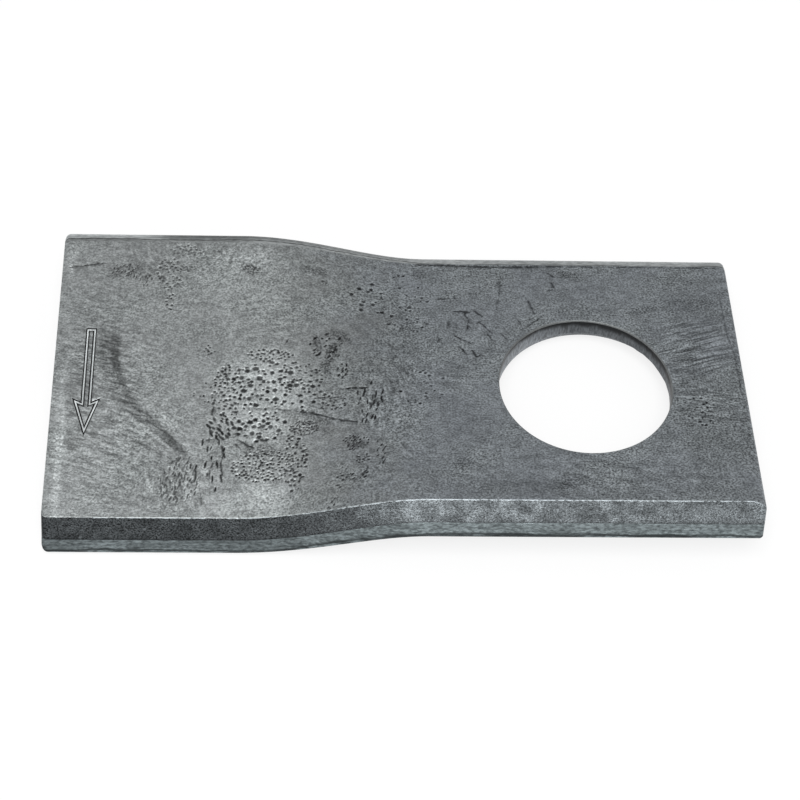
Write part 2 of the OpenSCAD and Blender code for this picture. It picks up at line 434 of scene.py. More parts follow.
# the punched hole: slightly rounded where the punch went in, torn where it came out
hole = {
    "entryWidth": 0.2,
    "entryDepth": 0.26,
    "exitWidth": 0.8,
    "exitDepth": 1.4,
    "exitLean": 0.65,
    "tear": 0.12,
    "tearScale": 0.9,
    "tearSeed": 0.4,
    "steps": 180,
    "roundSteps": 4,
    "clear": 1.0,
}
holeRadius = next(mount["dims"]["r_mm"] for mount in frame["record"]["mounts"] if mount["kind"] == "bore")


def shapeHole():
    bm = bmesh.new()
    wide, narrow = holeRadius + hole["exitWidth"], holeRadius + hole["entryWidth"]
    breakZ, entryZ = hole["exitDepth"] - topZ, topZ - hole["entryDepth"]
    below, above = -topZ - hole["clear"], topZ + hole["clear"]
    profile = [(0, below), (wide, below), (wide, -topZ), (holeRadius, breakZ)]
    for step in range(hole["roundSteps"] + 1):
        angle = math.radians(90) * step / hole["roundSteps"]
        profile.append((holeRadius + hole["entryWidth"] * (1 - math.cos(angle)),
                        entryZ + hole["entryDepth"] * math.sin(angle)))
    profile += [(narrow, above), (0, above)]
    points = [bm.verts.new((reach, 0, z)) for reach, z in profile]
    lines = [bm.edges.new(pair) for pair in zip(points, points[1:])]
    bmesh.ops.spin(bm, geom=points + lines, cent=(0, 0, 0), axis=(0, 0, 1), angle=2 * math.pi,
                   steps=hole["steps"], use_merge=True)
    bmesh.ops.remove_doubles(bm, verts=bm.verts[:], dist=same)
    bmesh.ops.recalc_face_normals(bm, faces=bm.faces[:])
    scale = hole["tearScale"]
    for vert in bm.verts:
        if abs(vert.co.z - breakZ) < same:
            vert.co.z += hole["tear"] * noise.noise((vert.co.x * scale, vert.co.y * scale, hole["tearSeed"]))
        elif vert.co.z < breakZ:
            vert.co.x += hole["exitLean"]
    for face in bm.faces:
        entry = face.calc_center_median().z > entryZ
        face.material_index = slotOf["punchedRim" if entry else "punchedWall"]
    return bm


# the stamped arrow: a line with sloping walls round its outline
arrow = {
    "toEnd": 4.96,
    "across": -0.12,
    "length": 17.55,
    "shaftWidth": 1.62,
    "headWidth": 4.15,
    "headLength": 6.2,
    "barbSweep": 0.6,
    "wallRun": 0.21,
    "floorWidth": 0.19,
    "depth": 0.12,
    "clear": 0.6,
}


def shapeArrow():
    bm = bmesh.new()
    tail, shaft, head = arrow["length"] / 2, arrow["shaftWidth"] / 2, arrow["headWidth"] / 2
    barb = arrow["headLength"] - tail
    neck = barb - arrow["barbSweep"]
    outline = [(0, -tail), (head, barb), (shaft, neck), (shaft, tail), (-shaft, tail), (-shaft, neck),
               (-head, barb)]
    sheet = bm.faces.new([bm.verts.new((x, y, 0)) for x, y in outline])
    sheet.material_index = slotOf["stampedWallShade"]
    bm.normal_update()
    # the outer wall goes down, the floor runs in, and the inner wall comes up again
    run, floor, depth = arrow["wallRun"], arrow["floorWidth"], arrow["depth"]
    for thickness, sink, following in ((run, -depth, "stampedFloor"), (floor, 0, "stampedWallShade"),
                                       (run, depth, "stampedWallShade")):
        bmesh.ops.inset_individual(bm, faces=[sheet], thickness=thickness, depth=sink, use_even_offset=True)
        bm.normal_update()
        sheet.material_index = slotOf[following]
    bmesh.ops.delete(bm, geom=[sheet], context="FACES_ONLY")
    # closed above the face that it cuts
    rim = bmesh.ops.extrude_edge_only(bm, edges=[edge for edge in bm.edges if edge.is_boundary])["geom"]
    raised = [item for item in rim if isinstance(item, bmesh.types.BMVert)]
    bmesh.ops.translate(bm, verts=raised, vec=(0, 0, arrow["clear"]))
    bmesh.ops.bridge_loops(bm, edges=[edge for edge in bm.edges if edge.is_boundary])
    bmesh.ops.recalc_face_normals(bm, faces=bm.faces[:])
    arrowX = cuttingX + arrow["toEnd"]
    seat = Matrix.Translation(onTop(arrowX, arrow["across"])) @ Matrix.Rotation(turnAt(arrowX), 4, "X")
    bmesh.ops.transform(bm, matrix=seat, verts=bm.verts[:])
    return bm


def asObject(bm, name, finishes):
    bmesh.ops.scale(bm, vec=(mm, mm, mm), verts=bm.verts[:])
    mesh = bpy.data.meshes.new(name)
    bm.to_mesh(mesh)
    bm.free()
    for finish in finishes:
        mesh.materials.append(finish)
    piece = bpy.data.objects.new(name, mesh)
    scene.collection.objects.link(piece)
    return piece


def cutAway(piece, cutters):
    for cutter in cutters:
        cut = piece.modifiers.new(cutter.name, "BOOLEAN")
        cut.operation = "DIFFERENCE"
        cut.solver = "EXACT"
        cut.material_mode = "INDEX"
        cut.object = cutter
    bpy.context.view_layer.update()
    whole = piece.evaluated_get(bpy.context.evaluated_depsgraph_get())
    finished = bpy.data.meshes.new_from_object(whole)
    piece.modifiers.clear()
    piece.data = finished
    for cutter in cutters:
        bpy.data.objects.remove(cutter)


# helpers for the finishes: a node with its sockets fed, sums, a mix of numbers and one of colours
def put(tree, kind, feeds=None, **settings):
    item = tree.nodes.new(kind)
    for name, value in settings.items():
        setattr(item, name, value)
    for name, value in (feeds or {}).items():
        if isinstance(value, bpy.types.NodeSocket):
            tree.links.new(value, item.inputs[name])
        else:
            item.inputs[name].default_value = value
    return item


def sums(tree, operation, *values, clamp=False):
    feeds = dict(enumerate(values))
    return put(tree, "ShaderNodeMath", feeds, operation=operation, use_clamp=clamp).outputs[0]


def times(tree, first, second, clamp=False):
    return sums(tree, "MULTIPLY", first, second, clamp=clamp)


def vectorSums(tree, operation, *values):
    item = put(tree, "ShaderNodeVectorMath", dict(enumerate(values)), operation=operation)
    return item.outputs["Value" if operation in ("LENGTH", "DOT_PRODUCT") else "Vector"]


def span(tree, value, low, high, toLow=0.0, toHigh=1.0):
    feeds = {"Value": value, "From Min": low, "From Max": high, "To Min": toLow, "To Max": toHigh}
    return put(tree, "ShaderNodeMapRange", feeds, interpolation_type="SMOOTHSTEP").outputs["Result"]


def lerp(tree, factor, first, second):
    return put(tree, "ShaderNodeMix", {0: factor, 2: first, 3: second}, data_type="FLOAT").outputs[0]


def blend(tree, factor, first, second, kind="MIX"):
    feeds = {0: factor, 6: first, 7: second}
    return put(tree, "ShaderNodeMix", feeds, data_type="RGBA", blend_type=kind).outputs[2]


def swayed(tree, value, mask, by):
    # a value moved up and down by a mask that runs from 0 to 1
    return sums(tree, "MULTIPLY_ADD", sums(tree, "SUBTRACT", mask, 0.5), by, value)


def varied(tree, tone, mask, by):
    # a tone made darker and lighter by such a mask
    return times(tree, tone, swayed(tree, 1.0, mask, by))


def axis(tree, place, letter):
    return put(tree, "ShaderNodeSeparateXYZ", {"Vector": place}).outputs[letter]


def scaled(tree, place, *scale):
    return put(tree, "ShaderNodeMapping", {"Vector": place, "Scale": scale}).outputs[0]


def attribute(tree, name):
    return put(tree, "ShaderNodeAttribute", attribute_name=name).outputs["Fac"]


def startGroup(name, takes, gives):
    tree = bpy.data.node_groups.new(name, "ShaderNodeTree")
    for label, value in takes.items():
        kind = "NodeSocketVector" if isinstance(value, tuple) else "NodeSocketFloat"
        tree.interface.new_socket(label, in_out="INPUT", socket_type=kind).default_value = value
    for label in gives:
        tree.interface.new_socket(label, in_out="OUTPUT", socket_type="NodeSocketFloat")
    return tree, tree.nodes.new("NodeGroupInput").outputs, tree.nodes.new("NodeGroupOutput").inputs


def makeGrain():
    # fine grain of the scale and its broader mottling, stretched along the bar
    tree, takes, gives = startGroup("steelGrain", {"Vector": (0, 0, 0), "Size": 0.35, "Stretch": 1.0,
                                                   "Mottle Size": 4.0}, ["Grain", "Mottle"])
    stretched = put(tree, "ShaderNodeCombineXYZ", {0: takes["Stretch"], 1: 1.0, 2: 1.0}).outputs[0]
    place = vectorSums(tree, "DIVIDE", takes["Vector"], stretched)
    fineScale = sums(tree, "DIVIDE", 1.0, takes["Size"])
    fine = put(tree, "ShaderNodeTexNoise", {"Vector": place, "Scale": fineScale, "Detail": 2.0,
                                            "Roughness": 0.6})
    broadScale = sums(tree, "DIVIDE", 1.0, takes["Mottle Size"])
    broad = put(tree, "ShaderNodeTexNoise", {"Vector": place, "Scale": broadScale, "Detail": 6.0,
                                             "Roughness": 0.62})
    tree.links.new(span(tree, fine.outputs["Fac"], 0.25, 0.75), gives["Grain"])
    tree.links.new(span(tree, broad.outputs["Fac"], 0.3, 0.7), gives["Mottle"])
    return tree


def makePatch():
    # a stain or a pale patch with a ragged edge
    tree, takes, gives = startGroup("softPatch", {"Vector": (0, 0, 0), "Centre": (0, 0, 0),
                                                  "Half Size": (1, 1, 1), "Turn": 0.0, "Ragged": 0.4,
                                                  "Soft": 0.3, "Fine": 0.7}, ["Mask"])
    away = vectorSums(tree, "SUBTRACT", takes["Vector"], takes["Centre"])
    turned = put(tree, "ShaderNodeVectorRotate", {"Vector": away, "Angle": takes["Turn"]},
                 rotation_type="Z_AXIS").outputs[0]
    reach = vectorSums(tree, "LENGTH", vectorSums(tree, "DIVIDE", turned, takes["Half Size"]))
    torn = put(tree, "ShaderNodeTexNoise", {"Vector": takes["Vector"], "Scale": takes["Fine"],
                                            "Detail": 5.0, "Roughness": 0.65}).outputs["Fac"]
    edge = swayed(tree, reach, torn, times(tree, takes["Ragged"], 4.0))
    inner = sums(tree, "SUBTRACT", 1.0, takes["Soft"])
    outer = sums(tree, "ADD", 1.0, takes["Soft"])
    tree.links.new(span(tree, edge, inner, outer, 1.0, 0.0), gives["Mask"])
    return tree


def makeSpecks():
    # scattered dots of uneven size
    tree, takes, gives = startGroup("scatteredSpecks", {"Vector": (0, 0, 0), "Spacing": 1.0, "Share": 0.4,
                                                        "Radius": 0.3}, ["Mask"])
    cellScale = sums(tree, "DIVIDE", 1.0, takes["Spacing"])
    cells = put(tree, "ShaderNodeTexVoronoi", {"Vector": takes["Vector"], "Scale": cellScale})
    chance = put(tree, "ShaderNodeSeparateColor", {"Color": cells.outputs["Color"]})
    shown = sums(tree, "LESS_THAN", chance.outputs["Red"], takes["Share"])
    radius = times(tree, takes["Radius"], sums(tree, "ADD", 0.4, chance.outputs["Green"]))
    dot = span(tree, cells.outputs["Distance"], times(tree, radius, 0.6), radius, 1.0, 0.0)
    tree.links.new(times(tree, dot, shown), gives["Mask"])
    return tree


def makeTrail():
    # a soft line between two points
    tree, takes, gives = startGroup("softTrail", {"Vector": (0, 0, 0), "From": (0, 0, 0), "To": (1, 0, 0),
                                                  "Width": 0.3, "Ragged": 0.3}, ["Mask"])
    run = vectorSums(tree, "SUBTRACT", takes["To"], takes["From"])
    away = vectorSums(tree, "SUBTRACT", takes["Vector"], takes["From"])
    along = sums(tree, "DIVIDE", vectorSums(tree, "DOT_PRODUCT", away, run),
                 vectorSums(tree, "DOT_PRODUCT", run, run), clamp=True)
    spread = put(tree, "ShaderNodeCombineXYZ", {0: along, 1: along, 2: along}).outputs[0]
    nearest = vectorSums(tree, "MULTIPLY", run, spread)
    gap = vectorSums(tree, "LENGTH", vectorSums(tree, "SUBTRACT", away, nearest))
    torn = put(tree, "ShaderNodeTexNoise", {"Vector": takes["Vector"], "Scale": 1.1, "Detail": 4.0})
    ragged = times(tree, times(tree, takes["Ragged"], takes["Width"]), 3.0)
    gap = swayed(tree, gap, torn.outputs["Fac"], ragged)
    core = times(tree, takes["Width"], 0.55)
    tree.links.new(span(tree, gap, core, takes["Width"], 1.0, 0.0), gives["Mask"])
    return tree


def makeRipples():
    # fine wavy lines that the rolls and the scale leave
    tree, takes, gives = startGroup("rollRipples", {"Vector": (0, 0, 0), "Turn": 0.0, "Spacing": 0.6,
                                                    "Stretch": 6.0}, ["Ripple"])
    turned = put(tree, "ShaderNodeVectorRotate", {"Vector": takes["Vector"], "Angle": takes["Turn"]},
                 rotation_type="Z_AXIS").outputs[0]
    long, short = times(tree, takes["Spacing"], takes["Stretch"]), takes["Spacing"]
    squeezed = put(tree, "ShaderNodeCombineXYZ", {0: long, 1: short, 2: short}).outputs[0]
    lines = put(tree, "ShaderNodeTexNoise", {"Vector": vectorSums(tree, "DIVIDE", turned, squeezed),
                                             "Scale": 1.0, "Detail": 1.5, "Distortion": 0.5})
    tree.links.new(span(tree, lines.outputs["Fac"], 0.3, 0.7), gives["Ripple"])
    return tree


def makeWearAndHighlight():
    # bright metal along rubbed edges, with a painted highlight on them, broken by the grain
    tree, takes, gives = startGroup("edgeWearAndHighlight", {"Vector": (0, 0, 0), "WearAndHighlight": 0.0, "Size": 1.2}, ["Mask"])
    brokenScale = sums(tree, "DIVIDE", 1.0, takes["Size"])
    broken = put(tree, "ShaderNodeTexNoise", {"Vector": takes["Vector"], "Scale": brokenScale,
                                              "Detail": 4.0})
    worn = span(tree, swayed(tree, takes["WearAndHighlight"], broken.outputs["Fac"], 4.2), 0.3, 0.9)
    near = times(tree, takes["WearAndHighlight"], 3.0, clamp=True)
    tree.links.new(times(tree, worn, near), gives["Mask"])
    return tree


grainGroup, patchGroup, specksGroup = makeGrain(), makePatch(), makeSpecks()
trailGroup, ripplesGroup, wearAndHighlightGroup = makeTrail(), makeRipples(), makeWearAndHighlight()
print("node groups ready")


def fromGroup(tree, group, place, settings):
    return put(tree, "ShaderNodeGroup", {"Vector": place, **settings}, node_tree=group).outputs


def startFinish(name, settings):
    # the finish, its tree, places in millimetres, and the steel's grain
    finish = bpy.data.materials.new(name)
    finish.use_nodes = True
    tree = finish.node_tree
    tree.nodes["Principled BSDF"].inputs["Metallic"].default_value = settings["metallic"]
    objectPlace = put(tree, "ShaderNodeTexCoord").outputs["Object"]
    place = scaled(tree, objectPlace, 1 / mm, 1 / mm, 1 / mm)
    drawn = scaled(tree, place, 1.0, 1.0, 1 / settings["drawnOut"]) if "drawnOut" in settings else place
    return finish, tree, place, fromGroup(tree, grainGroup, drawn, settings["grain"])


def endFinish(finish, settings, tone, tint, roughness, height):
    tree = finish.node_tree
    shader = tree.nodes["Principled BSDF"]
    tree.links.new(blend(tree, 1.0, tint, tone, "MULTIPLY"), shader.inputs["Base Color"])
    tree.links.new(roughness, shader.inputs["Roughness"])
    relief = put(tree, "ShaderNodeBump", {"Height": height, "Distance": settings["relief"] * mm})
    tree.links.new(relief.outputs["Normal"], shader.inputs["Normal"])
    return finish


def endPlain(finish, settings, tone, grain):
    roughness = span(finish.node_tree, grain["Mottle"], 0.0, 1.0, *settings["rough"])
    return endFinish(finish, settings, tone, tints[settings["tint"]], roughness, grain["Grain"])


def speckled(tree, tone, place, specks):
    dots = fromGroup(tree, specksGroup, place, specks["dots"])["Mask"]
    return lerp(tree, times(tree, dots, specks["share"]), tone, specks["tone"])


# tints of the bare steel
tints = {
    "plain": (0.94, 0.99, 1.0, 1.0),
    "cool": (0.85, 0.925, 1.0, 1.0),
    "green": (0.90, 0.99, 0.98, 1.0),
    "ground": (0.86, 0.95, 1.0, 1.0),
    "blunt": (0.83, 0.965, 1.0, 1.0),
}

# ridges rubbed bright with a painted highlight, but not by the cutting end: places along the bar, then
# shares
shine = {
    "size": 0.6,
    "cuttingEnd": (-72.0, -68.0, 0.0, 1.0),
    "twist": (-55.0, -25.0, 0.85, 1.0),
    "mountingEnd": (20.4, 21.4, 1.0, 1.8),
}


def ridgeWearAndHighlight(tree, place, along):
    wearAndHighlight = attribute(tree, "wearAndHighlight")
    for stretch in ("cuttingEnd", "twist", "mountingEnd"):
        wearAndHighlight = times(tree, wearAndHighlight, span(tree, along, *shine[stretch]))
    return fromGroup(tree, wearAndHighlightGroup, place, {"WearAndHighlight": wearAndHighlight, "Size": shine["size"]})["Mask"]


# the top face: its marks are placed as the pits are, and each darkens or lightens it by a share
rolled = {
    "metallic": 0.85,
    "grain": {"Size": 0.25, "Stretch": 1.2, "Mottle Size": 5.0},
    "blotch": {"Size": 0.8, "Stretch": 1.5, "Mottle Size": 9.0},
    "tone": (0.220, 0.278),
    "rough": (0.50, 0.42),
    "relief": 0.012,
    "mountingFrom": (-44.0, -22.0),
    "mountingSway": 8.0,
    "mountingTone": 0.96,
    "greenShare": 0.4,
    "grainBy": (0.92, 1.3),  # at the cutting end and at the mounting end
    "grainFade": (0.7, 1.25),
    "blotchBy": 0.42,
    "leastTone": 0.3,
    "specks": {"dots": {"Spacing": 0.8, "Share": 0.12, "Radius": 0.3}, "share": 0.45, "tone": 0.07},
    "glints": {"dots": {"Spacing": 0.6, "Share": 0.06, "Radius": 0.26}, "share": 0.3, "tone": 0.6},
    "denseGlints": {"dots": {"Spacing": 0.55, "Share": 0.5, "Radius": 0.3}, "share": 0.65, "tone": 0.68},
    "rimBy": 0.5,
    "pitTone": 0.012,
    "pitRough": 0.8,
    "ridgeTone": (-50.0, -20.0, 0.33, 0.39),
    "markHeight": 1000,  # half of it, so that a mark reaches through the twisted face
    "smallMark": 1.6,
    "smallFine": 2.2,
    "fine": 0.7,
    "usualStain": {"turn": 0, "ragged": 0.35, "soft": 0.22},
    "field": {"turn": 0, "ragged": 0.4, "soft": 0.6},
    "darkStain": -0.2,  # stains darker than this are broken by the grain
    "stainGrain": (0.25, 0.75, 1.35, 0.5),
    "trailRagged": 0.15,
    # middle, half size and share, then what is unusual about it
    "stains": [
        ((-71.0, 2.0), (3.0, 8.5), -0.11, {"turn": 8, "ragged": 0.4, "soft": 0.6}),
        ((-69.2, 6.3), (1.9, 2.2), -0.08, {"ragged": 0.25, "soft": 0.35}),
        ((-62.0, -15.0), (7.0, 6.0), -0.06, {"turn": 30, "ragged": 0.6, "soft": 0.5}),
        ((-58.6, -16.2), (1.6, 3.0), -0.16, {"ragged": 0.4, "soft": 0.5}),
        ((-40.6, -5.9), (3.2, 1.1), -0.26, {"turn": 12}),
        ((-37.5, -7.7), (1.3, 1.5), -0.24, {}),
        ((-46.4, -10.9), (2.6, 0.9), -0.40, {"turn": 10}),
        ((-38.9, 6.6), (0.6, 1.8), -0.45, {"turn": -10}),
        ((-36.7, 5.0), (0.9, 2.1), -0.48, {"turn": 20}),
        ((-37.6, 2.4), (0.8, 1.2), -0.42, {"turn": -20}),
        ((-35.8, 8.0), (1.9, 0.9), -0.36, {"turn": 10}),
        ((-33.2, -10.7), (1.6, 1.2), -0.34, {"turn": 20}),
        ((-32.3, -13.5), (0.9, 0.7), -0.36, {}),
        ((-33.0, -15.0), (5.0, 5.0), -0.09, {"ragged": 0.4, "soft": 0.6}),
        ((-30.0, 6.0), (4.5, 9.0), -0.10, {"turn": 10, "ragged": 0.8, "soft": 0.5}),
        ((-67.4, 18.2), (2.4, 1.1), -0.28, {"turn": -20}),
        ((-58.0, 18.9), (1.5, 0.7), -0.28, {}),
        ((-48.9, 18.9), (1.3, 0.8), -0.55, {"turn": 10}),
        ((-39.4, 19.6), (2.0, 0.8), -0.30, {}),
        ((-37.9, 17.7), (0.45, 0.4), -0.55, {}),
        ((-23.8, 21.4), (1.1, 1.0), -0.34, {}),
        ((-50.0, 17.0), (8.0, 6.0), 0.12, {"ragged": 0.5, "soft": 0.7}),
        ((-47.8, 21.0), (3.4, 1.2), 0.20, {"ragged": 0.5, "soft": 0.6}),
        ((-46.2, -2.0), (5.5, 6.5), 0.43, {"ragged": 0.3, "soft": 0.5}),
        ((-45.4, -18.2), (3.2, 2.8), 0.42, {"turn": 35, "ragged": 0.4, "soft": 0.6}),
        ((-51.4, -19.0), (3.0, 1.2), 0.14, {"ragged": 0.5, "soft": 0.5}),
        ((-74.9, -10.0), (0.8, 11.0), 0.24, {"ragged": 0.2, "soft": 0.6}),
        ((-75.3, 20.0), (0.8, 2.4), 0.25, {"ragged": 0.3, "soft": 0.6}),
        ((-12.0, -19.3), (9.0, 1.2), -0.16, {"ragged": 0.5, "soft": 0.6}),
        ((-3.0, -18.2), (2.6, 0.9), -0.26, {"turn": -18}),
        ((-18.5, -15.0), (1.6, 1.0), -0.22, {"turn": -20}),
        ((-25.4, 10.4), (1.6, 1.1), -0.26, {"turn": 20}),
        ((9.6, 14.3), (2.2, 0.7), -0.34, {"turn": -10}),
        ((16.5, 15.4), (5.0, 1.6), -0.22, {"turn": -8, "ragged": 0.5, "soft": 0.6}),
        ((-0.8, 21.3), (2.2, 0.8), -0.32, {"turn": 20}),
        ((18.0, -11.5), (4.0, 6.0), -0.08, {"ragged": 0.6, "soft": 0.6}),
        ((18.0, 0.0), (6.0, 30.0), -0.08, {"ragged": 0.4, "soft": 0.6}),
        ((0.0, -18.0), (14.0, 4.0), -0.06, {"ragged": 0.4, "soft": 0.6}),
    ],
    "glintFields": [
        ((-75.0, -12.5), (0.75, 9.0)),
        ((-75.2, 20.0), (0.5, 2.2)),
        ((-45.4, -16.4), (4.2, 3.8)),
        ((-46.0, -2.0), (5.0, 6.0)),
        ((-50.0, 21.0), (5.0, 1.6)),
    ],
    # middle, half size, turn, spacing and stretch of the lines, and their share
    "ripples": [
        ((-70.0, -3.0), (8.0, 17.0), 14, 0.42, 5.0, 0.65),
        ((-62.5, -8.0), (5.0, 5.0), 34, 0.50, 8.0, 0.55),
        ((-58.0, -16.0), (6.0, 4.5), 84, 0.48, 4.5, 0.55),
        ((-63.0, 20.5), (8.0, 2.6), 50, 0.48, 3.5, 0.50),
        ((-50.0, 20.5), (6.0, 2.6), -45, 0.48, 3.5, 0.55),
        ((-45.5, 11.5), (6.0, 5.0), -12, 0.60, 7.0, 0.30),
        ((-30.5, -3.5), (4.0, 7.0), 82, 0.55, 3.0, 0.50),
        ((-26.5, 1.0), (2.5, 4.0), 72, 0.45, 3.5, 0.55),
        ((16.8, 6.5), (5.5, 5.5), -18, 0.34, 14.0, 1.10),
        ((16.5, -3.5), (5.0, 3.5), 8, 0.52, 5.0, 0.80),
        ((-22.0, 1.0), (6.0, 4.0), 12, 0.70, 5.0, 0.35),
        ((2.0, -17.5), (14.0, 5.0), 20, 0.55, 3.5, 0.40),
    ],
    # runs of points, with a width for each end of the run
    "trails": [
        {"run": [(-68.9, 6.8), (-68.8, 4.6), (-68.1, 0.8), (-66.9, -1.8), (-63.7, -5.6), (-60.5, -8.3),
                 (-57.5, -11.6)], "width": (2.0, 0.7), "by": -0.29},
        {"run": [(-68.2, 7.2), (-68.0, 3.3), (-65.9, -1.9), (-64.6, -3.9), (-60.4, -8.1), (-57.2, -11.4)],
         "width": (0.70, 0.45), "by": -0.19},
        {"run": [(-75.4, 2.3), (-74.8, -8.0), (-74.9, -19.1)], "width": (0.50, 0.60),
         "by": 0.20, "ragged": 0.7},
        {"run": [(-63.0, -7.7), (-60.7, -9.3), (-59.1, -10.9)], "width": (0.30, 0.22), "by": 0.26},
        {"run": [(-62.6, -14.6), (-61.4, -17.7)], "width": (0.22, 0.20), "by": 0.26},
    ],
}


def rolledFinish():
    finish, tree, place, grain = startFinish("rolledFace", rolled)
    blotch = fromGroup(tree, grainGroup, place, rolled["blotch"])
    tone = lerp(tree, grain["Mottle"], *rolled["tone"])
    # the mounting end is a little darker and cooler
    along = axis(tree, place, "X")
    uneven = swayed(tree, along, grain["Mottle"], rolled["mountingSway"])
    mounting = span(tree, uneven, *rolled["mountingFrom"])
    tone = times(tree, tone, lerp(tree, mounting, 1.0, rolled["mountingTone"]))
    tint = blend(tree, mounting, tints["plain"], tints["cool"])
    tint = blend(tree, times(tree, blotch["Mottle"], rolled["greenShare"]), tint, tints["green"])

    def patch(at, half, look):
        small = min(half) < rolled["smallMark"]
        feeds = {"Centre": onTop(*at), "Half Size": (*half, rolled["markHeight"]),
                 "Turn": math.radians(look["turn"]), "Ragged": look["ragged"], "Soft": look["soft"],
                 "Fine": rolled["smallFine" if small else "fine"]}
        return fromGroup(tree, patchGroup, place, feeds)["Mask"]

    # stains, the trail of a dried drop and ripples
    change, broken = 1.0, span(tree, grain["Grain"], *rolled["stainGrain"])
    for at, half, by, unusual in rolled["stains"]:
        mask = patch(at, half, {**rolled["usualStain"], **unusual})
        if by < rolled["darkStain"]:
            mask = times(tree, mask, broken)
        change = sums(tree, "MULTIPLY_ADD", mask, by, change)
    for mark in rolled["trails"]:
        trail, (wide, narrow) = 0.0, mark["width"]
        ragged = mark.get("ragged", rolled["trailRagged"])
        for index, (start, end) in enumerate(zip(mark["run"], mark["run"][1:])):
            feeds = {"From": onTop(*start), "To": onTop(*end), "Ragged": ragged,
                     "Width": wide + (narrow - wide) * index / (len(mark["run"]) - 1)}
            trail = sums(tree, "MAXIMUM", trail, fromGroup(tree, trailGroup, place, feeds)["Mask"])
        change = sums(tree, "MULTIPLY_ADD", trail, mark["by"], change)
    height = grain["Grain"]
    for at, half, turn, spacing, stretch, by in rolled["ripples"]:
        feeds = {"Turn": math.radians(turn), "Spacing": spacing, "Stretch": stretch}
        ripple = sums(tree, "SUBTRACT", fromGroup(tree, ripplesGroup, place, feeds)["Ripple"], 0.5)
        ripple = times(tree, ripple, patch(at, half, rolled["field"]))
        change = sums(tree, "MULTIPLY_ADD", ripple, by, change)
        height = sums(tree, "ADD", height, ripple)
    tone = times(tree, tone, sums(tree, "MAXIMUM", change, rolled["leastTone"]))
    # grain that comes and goes
    strength = lerp(tree, mounting, *rolled["grainBy"])
    strength = times(tree, strength, span(tree, blotch["Mottle"], 0.0, 1.0, *rolled["grainFade"]))
    tone = varied(tree, tone, grain["Grain"], strength)
    tone = varied(tree, tone, blotch["Grain"], rolled["blotchBy"])
    # specks of scale, glints, pits with their pale rims, and ridges rubbed bright with a painted highlight
    tone = speckled(tree, tone, place, rolled["specks"])
    tone = speckled(tree, tone, place, rolled["glints"])
    glints = rolled["denseGlints"]
    dense = fromGroup(tree, specksGroup, place, glints["dots"])["Mask"]
    for at, half in rolled["glintFields"]:
        share = times(tree, times(tree, dense, patch(at, half, rolled["field"])), glints["share"])
        tone = lerp(tree, share, tone, glints["tone"])
    rim = sums(tree, "MULTIPLY_ADD", attribute(tree, "rimmed"), 0.5, 0.5)
    tone = varied(tree, tone, rim, rolled["rimBy"])
    pitted = attribute(tree, "pitted")
    tone = lerp(tree, pitted, tone, rolled["pitTone"])
    tone = lerp(tree, ridgeWearAndHighlight(tree, place, along), tone, span(tree, along, *rolled["ridgeTone"]))
    roughness = span(tree, grain["Mottle"], 0.0, 1.0, *rolled["rough"])
    roughness = lerp(tree, pitted, roughness, rolled["pitRough"])
    return endFinish(finish, rolled, tone, tint, roughness, height)


# the rolled corner: rubbed bright with a painted highlight outside a line along it, but not where the twist
# drew it
rounded = {
    "metallic": 0.85,
    "grain": {"Size": 0.25, "Stretch": 4.0, "Mottle Size": 3.0},
    "tint": "plain",
    "rough": (0.5, 0.4),
    "relief": 0.012,
    "mountingFrom": (-27.0, -20.0),
    "cuttingFrom": (-66.0, -60.0, 1.0, 0.0),
    "sway": 0.3,
    "lineAt": (0.45, 0.06),  # these three are for the cutting end and the mounting end
    "bright": (0.47, 0.38),
    "creaseBy": (0.92, 0.5),
    "creaseWidth": 0.14,
    "inside": 0.22,
    "step": 0.12,
    "drawnTone": (0.27, 0.17),
    "drawnAcross": (0.5, 1.2),
    "drawnAlong": (-52.0, -47.0, 0.9, 1.35),
    "dotsAt": 0.4,
    "dots": (0.0, 0.12, 0.6, 0.0),
    "dark": 0.06,
    "grainBy": 0.6,
    "mottleBy": 0.4,
}


def cornerFinish():
    finish, tree, place, grain = startFinish("rolledCorner", rounded)
    along = axis(tree, place, "X")
    mounting = span(tree, along, *rounded["mountingFrom"])
    rubbedAndLit = sums(tree, "ADD", mounting, span(tree, along, *rounded["cuttingFrom"]))
    outside = sums(tree, "SUBTRACT", attribute(tree, "across"), roundY)
    outside = swayed(tree, outside, grain["Mottle"], rounded["sway"])
    gap = sums(tree, "SUBTRACT", outside, lerp(tree, mounting, *rounded["lineAt"]))
    drawn = lerp(tree, span(tree, outside, *rounded["drawnAcross"]), *rounded["drawnTone"])
    drawn = times(tree, drawn, span(tree, along, *rounded["drawnAlong"]))
    # wear and a painted highlight make the strip outside the line pale
    bright = lerp(tree, mounting, *rounded["bright"])
    lined = lerp(tree, span(tree, gap, 0.0, rounded["step"]), rounded["inside"], bright)
    tone = lerp(tree, rubbedAndLit, drawn, lined)
    # painted shade of a crease at the line, and a row of dots outside it
    creaseBy = lerp(tree, mounting, *rounded["creaseBy"])
    crease = span(tree, sums(tree, "ABSOLUTE", gap), 0.0, rounded["creaseWidth"], creaseBy, 0.0)
    fromDots = sums(tree, "ABSOLUTE", sums(tree, "SUBTRACT", gap, rounded["dotsAt"]))
    broken = times(tree, grain["Grain"], sums(tree, "SUBTRACT", 1.0, mounting))
    dots = times(tree, span(tree, fromDots, *rounded["dots"]), broken)
    tone = lerp(tree, sums(tree, "MAXIMUM", crease, dots), tone, rounded["dark"])
    tone = varied(tree, tone, grain["Grain"], rounded["grainBy"])
    tone = varied(tree, tone, grain["Mottle"], rounded["mottleBy"])
    return endPlain(finish, rounded, tone, grain)


